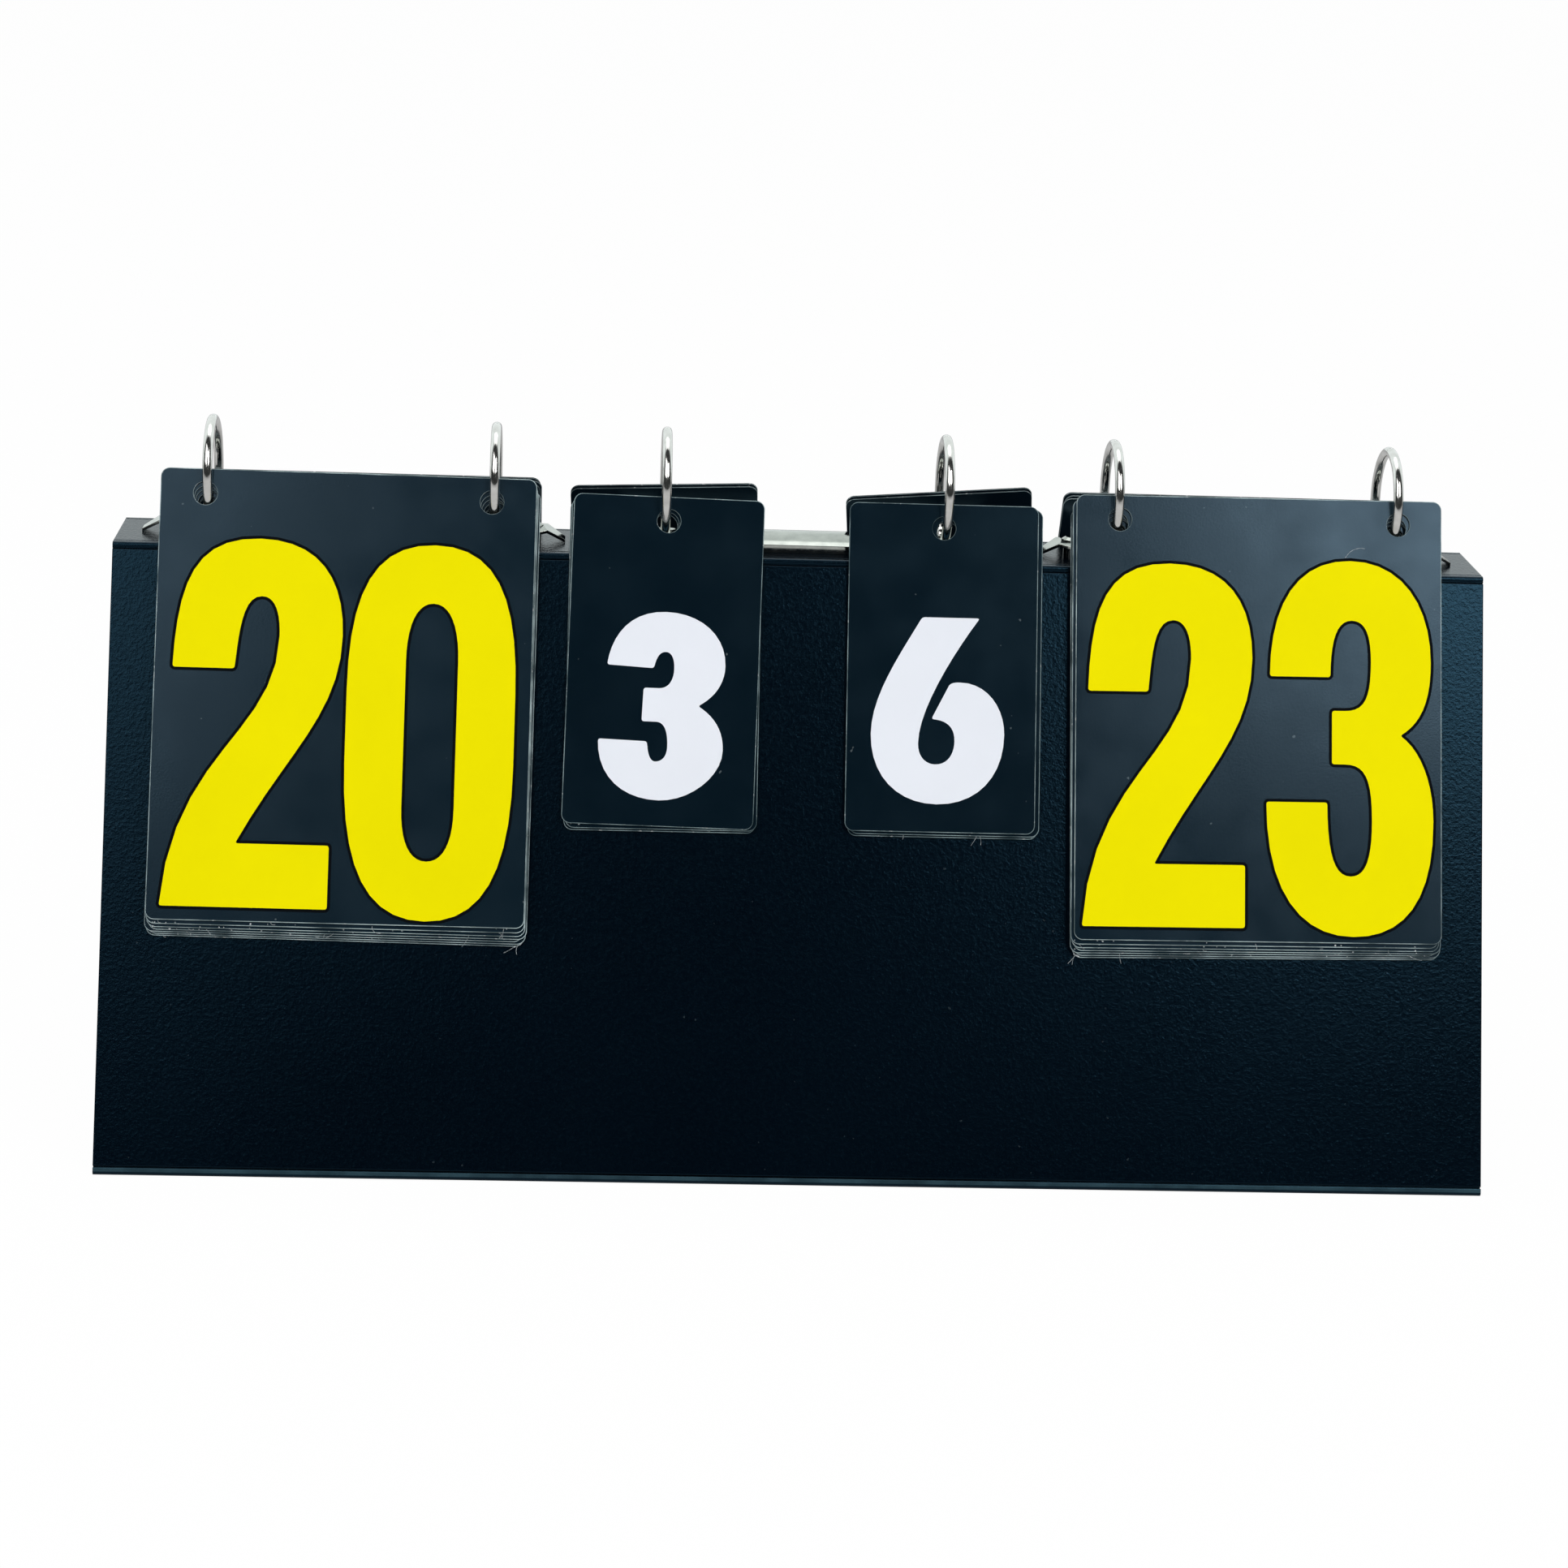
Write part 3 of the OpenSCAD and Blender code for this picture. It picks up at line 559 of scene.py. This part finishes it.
def make_cards(node, facing, thickness, materials):
    work = bmesh.new()
    for group in faces_of(face_outlines(node, facing), facing):
        fronts = []
        backs = []
        for outline in group:
            steps = [
                (CARD_BEVEL, thickness, RIM), (0, thickness - CARD_BEVEL, WALL), (0, CARD_BEVEL, RIM),
                (CARD_BEVEL, 0, RIM)
            ]
            if outline is group[0]:
                steps.append((CARD_MARGIN, 0, FACE))
            rings = [
                add_ring(work, ring_inside(outline, facing, inset, depth))
                for inset, depth, _ in steps
            ]
            for (_, _, material), lower, upper in zip(steps, rings, rings[1:]):
                bridge(work, lower, upper, material)
            backs.append(rings[0])
            fronts.append(rings[-1])
        fill(work, fronts, facing, FACE)
        fill(work, backs, -facing, FACE)
    piece = finish_piece(work, f"{node}_dressed", materials, body_of_node[node])
    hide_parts(node)


def card_thickness():
    """Thickness of one card, measured across a card that is a node of its own."""
    mesh = nodes["left_score_card"].data
    levels = [vertex.co.dot(FACING_FRONT) for vertex in mesh.vertices]
    return max(levels) - min(levels)


LARGE = (LARGE_STACKS, (large_face, large_rim_highlight, large_wall), "large_card")
SMALL = (SMALL_STACKS, (small_face, small_rim_highlight, small_wall), "small_card")
thickness = card_thickness()
for stacks, materials, slot in (LARGE, SMALL):
    for stack in stacks:
        for part in ("card", "pack"):
            make_cards(f"{stack}_{part}", FACING_FRONT, thickness, materials)
            make_cards(f"{stack}_turned_{part}", FACING_REAR, thickness, materials)


# Black line round the yellow numerals

def make_line(stack):
    node = f"{stack}_numerals"
    work = bmesh.new()
    top = PRINT_HEIGHT - LINE_HEIGHT
    steps = [(-LINE_WIDTH, PRINT_HEIGHT), (-LINE_WIDTH, top), (LINE_OVERLAP, top)]
    for outline in face_outlines(node, FACING_FRONT):
        rings = [
            add_ring(work, ring_inside(outline, FACING_FRONT, inset, depth))
            for inset, depth in steps
        ]
        for lower, upper in zip(rings, rings[1:]):
            bridge(work, lower, upper, 0)
    piece = finish_piece(work, f"{stack}_numerals_line", (line_black,), body_of_node[node])


for stack in LARGE_STACKS:
    make_line(stack)


# Dust and lint on the cut lower edges of the packs, and a hair on one card

def add_flake(work, centre, size, rng):
    """A small irregular crumb that lies on the front of the cards."""
    rim = []
    for i in range(FLAKE_CORNERS):
        angle = 2 * math.pi * i / FLAKE_CORNERS
        reach = size * rng.uniform(0.55, 1.0)
        outwards = math.cos(angle) * ALONG + math.sin(angle) * UP_FRONT
        rim.append(work.verts.new(centre + reach * outwards))
    peak = work.verts.new(centre + 0.5 * size * FACING_FRONT)
    for i in range(FLAKE_CORNERS):
        work.faces.new((rim[i], rim[(i + 1) % FLAKE_CORNERS], peak))


def add_fibre(work, points):
    """A thin four-sided tube along points that lie near the front of the cards."""
    rings = []
    for i, point in enumerate(points):
        ahead = (points[min(i + 1, len(points) - 1)] - points[max(i - 1, 0)]).normalized()
        side = ahead.cross(FACING_FRONT).normalized()
        over = side.cross(ahead)
        offsets = (side, over, -side, -over)
        rings.append([work.verts.new(point + FIBRE_RADIUS * offset) for offset in offsets])
    for lower, upper in zip(rings, rings[1:]):
        bridge(work, lower, upper, 0)
    work.faces.new(rings[0][::-1])
    work.faces.new(rings[-1])


def curl(start, heading, bend, length, rng):
    """Points of a fibre that starts at a heading in the cards' plane and bends unevenly."""
    points = [start]
    for _ in range(FIBRE_STEPS):
        heading += bend / FIBRE_STEPS * rng.uniform(0.2, 1.8)
        ahead = math.cos(heading) * ALONG + math.sin(heading) * UP_FRONT
        points.append(points[-1] + length / FIBRE_STEPS * ahead)
    return points


def lower_edge(outline):
    """The left and right ends of the straight lower edge of a card's outline."""
    lowest = min(point.dot(UP_FRONT) for point in outline)
    level = [point for point in outline if point.dot(UP_FRONT) < lowest + EDGE_DEPTH]
    return min(level, key=lambda p: p.x), max(level, key=lambda p: p.x)


def make_lint(node, flakes, fibres, seed):
    rng = random.Random(seed)
    work = bmesh.new()
    cards = faces_of(face_outlines(node, FACING_FRONT), FACING_FRONT)
    edges = [lower_edge(card[0]) for card in cards]
    for _ in range(flakes):
        left, right = rng.choice(edges)
        share = rng.choice((rng.uniform(0.0, 0.08), rng.random(), rng.random()))
        size = rng.uniform(*FLAKE_SIZES) * MM
        add_flake(work, left.lerp(right, share) + FLAKE_LIFT * FACING_FRONT, size, rng)
    for _ in range(fibres):
        left, right = rng.choice(edges)
        start = left.lerp(right, rng.random()) + rng.uniform(*FIBRE_LIFTS) * MM * FACING_FRONT
        heading = rng.uniform(-2.6, -0.5)
        bend = rng.uniform(-2.5, 2.5)
        length = rng.uniform(*FIBRE_LENGTHS) * MM
        add_fibre(work, curl(start, heading, bend, length, rng))
    piece = finish_piece(work, f"{node}_lint", (lint,), body_of_node[node])


def make_hair(node, seed):
    """A hair on a card's face."""
    rng = random.Random(seed)
    outline = faces_of(face_outlines(node, FACING_FRONT), FACING_FRONT)[0][0]
    top = max(outline, key=lambda p: p.dot(UP_FRONT))
    middle = (min(p.x for p in outline) + max(p.x for p in outline)) / 2
    start = Vector((middle, top.y, top.z)) + HAIR_RIGHT * ALONG - HAIR_BELOW * UP_FRONT
    start += FIBRE_RADIUS * FACING_FRONT
    work = bmesh.new()
    add_fibre(work, curl(start, HAIR_HEADING, HAIR_BEND, HAIR_LENGTH, rng))
    piece = finish_piece(work, f"{node}_hair", (lint,), body_of_node[node])


make_lint("left_score_pack", flakes=46, fibres=14, seed=3)
make_lint("right_score_pack", flakes=40, fibres=10, seed=8)
make_lint("left_set_pack", flakes=5, fibres=1, seed=4)
make_lint("right_set_pack", flakes=10, fibres=3, seed=5)
make_hair("right_score_card", seed=2)


# Living hinge webs

def make_web(joint, body, across, middle):
    """A thin sleeve round a bead, centred on an angle from +Y towards +Z, along one node's length."""
    low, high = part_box(across)
    pivot = Vector(joints[joint]["pos_m"])
    work = bmesh.new()
    rows = []
    for i in range(WEB_STEPS + 1):
        angle = middle + WEB_HALF_ANGLE * (2 * i / WEB_STEPS - 1)
        outwards = Vector((0, math.cos(angle), math.sin(angle)))
        row = []
        for radius in (BEAD_RADIUS * WEB_INNER_SHARE, BEAD_RADIUS + WEB_THICKNESS):
            place = pivot + radius * outwards
            row += [work.verts.new((x, place.y, place.z)) for x in (low.x, high.x)]
        rows.append(row)
    for a, b in zip(rows, rows[1:]):
        work.faces.new((a[2], b[2], b[3], a[3]))
        work.faces.new((a[1], b[1], b[0], a[0]))
        work.faces.new((a[0], b[0], b[2], a[2]))
        work.faces.new((a[3], b[3], b[1], a[1]))
    for row, turn in ((rows[0], 1), (rows[-1], -1)):
        work.faces.new((row[0], row[2], row[3], row[1])[::turn])
    bmesh.ops.recalc_face_normals(work, faces=work.faces)
    piece = finish_piece(work, f"{joint}_web", (sheet,), body)


UPWARDS = math.radians(90)
make_web("front_panel_hinge", "spine", "front_panel", -UPWARDS - LEAN)
make_web("rear_panel_hinge", "spine", "rear_panel", -UPWARDS + LEAN)
make_web("base_flap_hinge", "front_panel", "base_flap", 0)
make_web("closing_tab_hinge", "base_flap", "closing_tab", UPWARDS + LEAN)


# Floor, world and lamps

def make_floor():
    mesh = bpy.data.meshes.new("floor")
    corners = [
        (-FLOOR_HALF, -FLOOR_HALF, 0), (FLOOR_HALF, -FLOOR_HALF, 0),
        (FLOOR_HALF, FLOOR_HALF, 0), (-FLOOR_HALF, FLOOR_HALF, 0)
    ]
    mesh.from_pydata(corners, [], [(0, 1, 2, 3)])
    floor = bpy.data.objects.new("floor", mesh)
    bpy.context.scene.collection.objects.link(floor)
    floor.location.z = -FLOOR_DROP
    s = Shader("floor", base_color=(0.90, 0.90, 0.90), roughness=0.9, specular_ior_level=0.0)
    path = s.add("LightPath")
    glow = s.add("Emission")
    s.feed(glow.inputs["Color"], (1.0, 1.0, 1.0))
    strength = s.math("MAXIMUM", path.outputs["Is Camera Ray"], FLOOR_MIRROR_STRENGTH)
    s.link(strength, glow.inputs["Strength"])
    seen = s.math("MULTIPLY", path.outputs["Is Camera Ray"], FLOOR_CAMERA_SHARE)
    mirrored = s.math("MULTIPLY", path.outputs["Is Glossy Ray"], FLOOR_MIRROR_SHARE)
    share = s.add("MixShader")
    s.link(s.math("ADD", seen, mirrored), share.inputs["Fac"])
    s.link(s.principled.outputs["BSDF"], share.inputs[1])
    s.link(glow.outputs["Emission"], share.inputs[2])
    s.link(share.outputs["Shader"], s.tree.nodes["Material Output"].inputs["Surface"])
    mesh.materials.append(s.material)


def make_world():
    """White to the camera and near white in reflections, but for a dark room on the reader's side."""
    world = bpy.data.worlds.new("studio")
    bpy.context.scene.world = world
    world.use_nodes = True
    world.node_tree.nodes.clear()
    w = NodeTree(world.node_tree)

    def background(colour, strength):
        node = w.add("Background")
        w.feed(node.inputs["Color"], colour)
        w.feed(node.inputs["Strength"], strength)
        return node.outputs["Background"]

    def choose(share, first, second):
        node = w.add("MixShader")
        for socket, source in zip(node.inputs, (share, first, second)):
            w.link(source, socket)
        return node.outputs["Shader"]

    path = w.add("LightPath")
    direction = w.add("SeparateXYZ")
    w.link(w.add("TexCoord").outputs["Generated"], direction.inputs["Vector"])
    behind = w.add("MapRange", clamp=True, interpolation_type="SMOOTHSTEP")
    behind.inputs["From Min"].default_value = DARK_UNTIL
    behind.inputs["From Max"].default_value = WHITE_FROM
    behind.inputs["To Min"].default_value = DARK_STRENGTH
    behind.inputs["To Max"].default_value = 1.0
    w.link(direction.outputs["Y"], behind.inputs["Value"])

    page = background((1.0, 1.0, 1.0), 1.0)
    mirrored = background((0.93, 1.0, 1.0), behind.outputs["Result"])
    room = background((0.92, 0.96, 1.0), ROOM_STRENGTH)
    clear = w.math("MAXIMUM", path.outputs["Is Glossy Ray"], path.outputs["Is Transmission Ray"])
    lower = choose(clear, room, mirrored)
    upper = choose(path.outputs["Is Camera Ray"], lower, page)
    w.link(upper, w.add("OutputWorld").inputs["Surface"])


def make_lamp(name, place, size, power):
    data = bpy.data.lights.new(name, "AREA")
    data.shape = "RECTANGLE"
    data.size, data.size_y = size
    data.energy = power
    lamp = bpy.data.objects.new(name, data)
    bpy.context.scene.collection.objects.link(lamp)
    lamp.location = place
    lamp.rotation_euler = (LAMP_AIM - Vector(place)).to_track_quat("-Z", "Y").to_euler()


make_floor()
make_world()
make_lamp("key", (-0.75, -1.11, 1.26), size=(1.25, 1.05), power=9.5)
make_lamp("fill", (0.669, -1.207, 1.207), size=(0.7, 0.8), power=10.2)
make_lamp("top", (0, 0.4, 1.8), size=(1.6, 1.0), power=5)

bpy.context.scene.view_settings.view_transform = "Standard"
